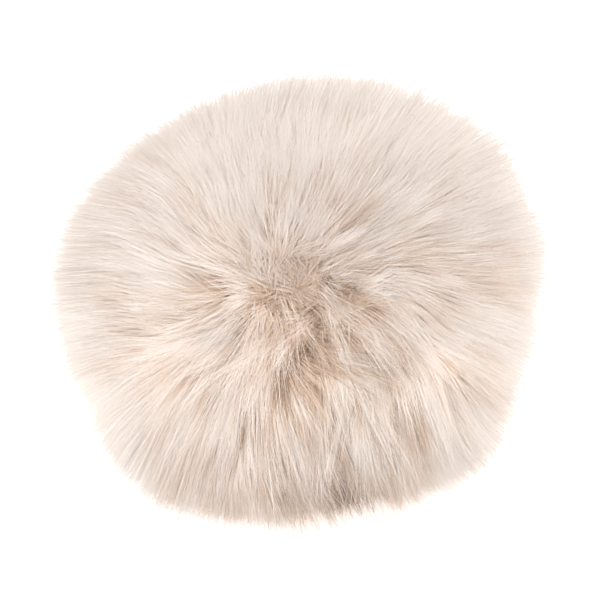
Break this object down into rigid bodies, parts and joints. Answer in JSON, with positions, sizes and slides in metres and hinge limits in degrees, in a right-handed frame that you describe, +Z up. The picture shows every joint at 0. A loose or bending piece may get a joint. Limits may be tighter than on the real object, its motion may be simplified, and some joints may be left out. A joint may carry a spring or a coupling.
{
  "type": "faux-fur pom pom",
  "caption": "Round cream faux-fur pom pom with long soft pile, parted at the front, resting on a small flat spot.",
  "frame": {"origin": "middle of the flat spot that the ball rests on", "axes": "+Z up out of the flat spot, -Y towards the side with the parting, +X to the right when facing that side"},
  "size_m": [0.1245, 0.1188, 0.102],
  "materials": {
    "faux_fur": "soft long pile, cream with a tan depth"
  },
  "bodies": {
    "root": {"pile_ball": "faux_fur"}
  },
  "joints": []
}
